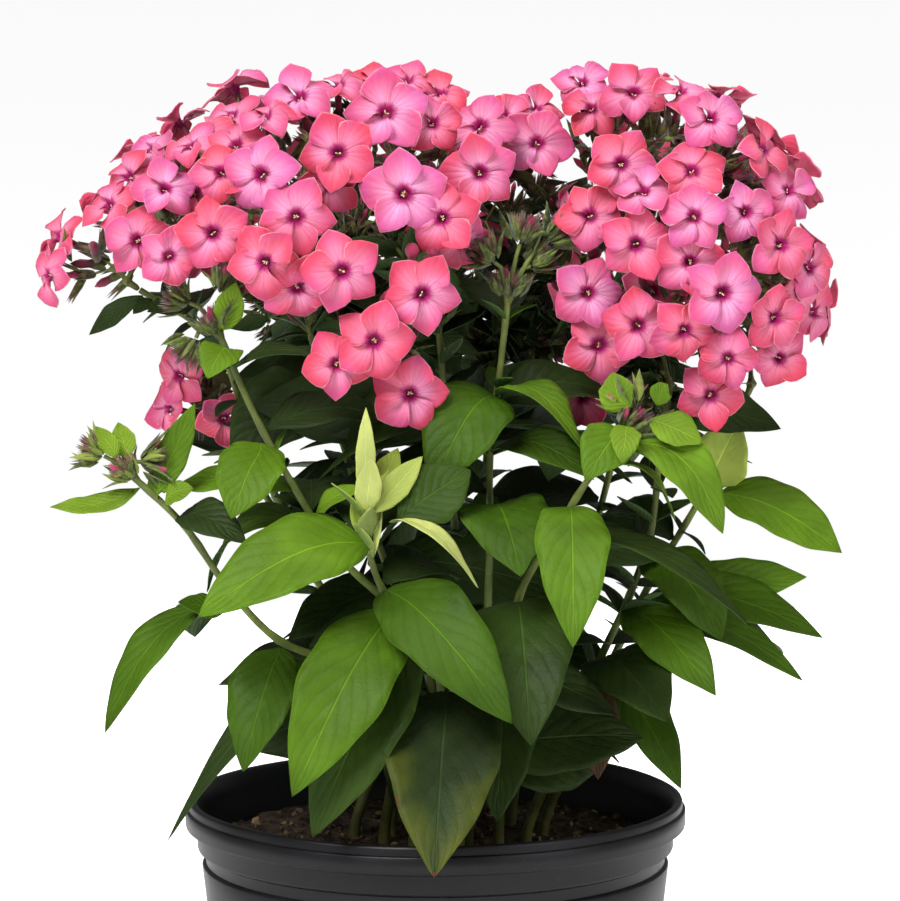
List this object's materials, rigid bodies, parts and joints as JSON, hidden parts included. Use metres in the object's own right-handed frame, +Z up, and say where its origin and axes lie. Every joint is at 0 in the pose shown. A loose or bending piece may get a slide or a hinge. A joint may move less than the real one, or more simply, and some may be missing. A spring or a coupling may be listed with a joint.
{
  "type": "phlox plant in a nursery pot",
  "caption": "Bushy coral-pink garden phlox with domed flower heads and lance-shaped leaves, growing in a round black plastic nursery pot.",
  "frame": {"origin": "middle of the pot's flat underside", "axes": "+Z up, -Y towards the viewer of the picture, +X to the picture's right"},
  "size_m": [0.2692, 0.2439, 0.4106],
  "materials": {
    "pot": "satin black moulded plastic",
    "soil": "dark moist potting soil with bark",
    "foliage": "satin green living leaf and stem",
    "bloom": "soft coral-pink petals with a magenta eye"
  },
  "bodies": {
    "root": {"pot": "pot", "soil": "soil", "stem_outer_left": "foliage", "stem_left_buds": "foliage", "stem_pale_shoot": "foliage", "stem_centre_buds": "foliage", "stem_front_right": "foliage", "stem_east": "foliage", "stem_outer_right": "foliage", "stem_west": "foliage", "stem_low_west": "foliage", "stem_middle": "foliage", "stem_centre": "foliage", "stem_back_left": "foliage", "stem_back_right": "foliage", "stem_back_buds": "foliage", "head_west": "bloom", "head_low_west": "bloom", "head_middle": "bloom", "head_centre": "bloom", "head_back_left": "bloom", "head_east": "bloom", "head_far_east": "bloom", "head_back_right": "bloom"}
  },
  "joints": []
}
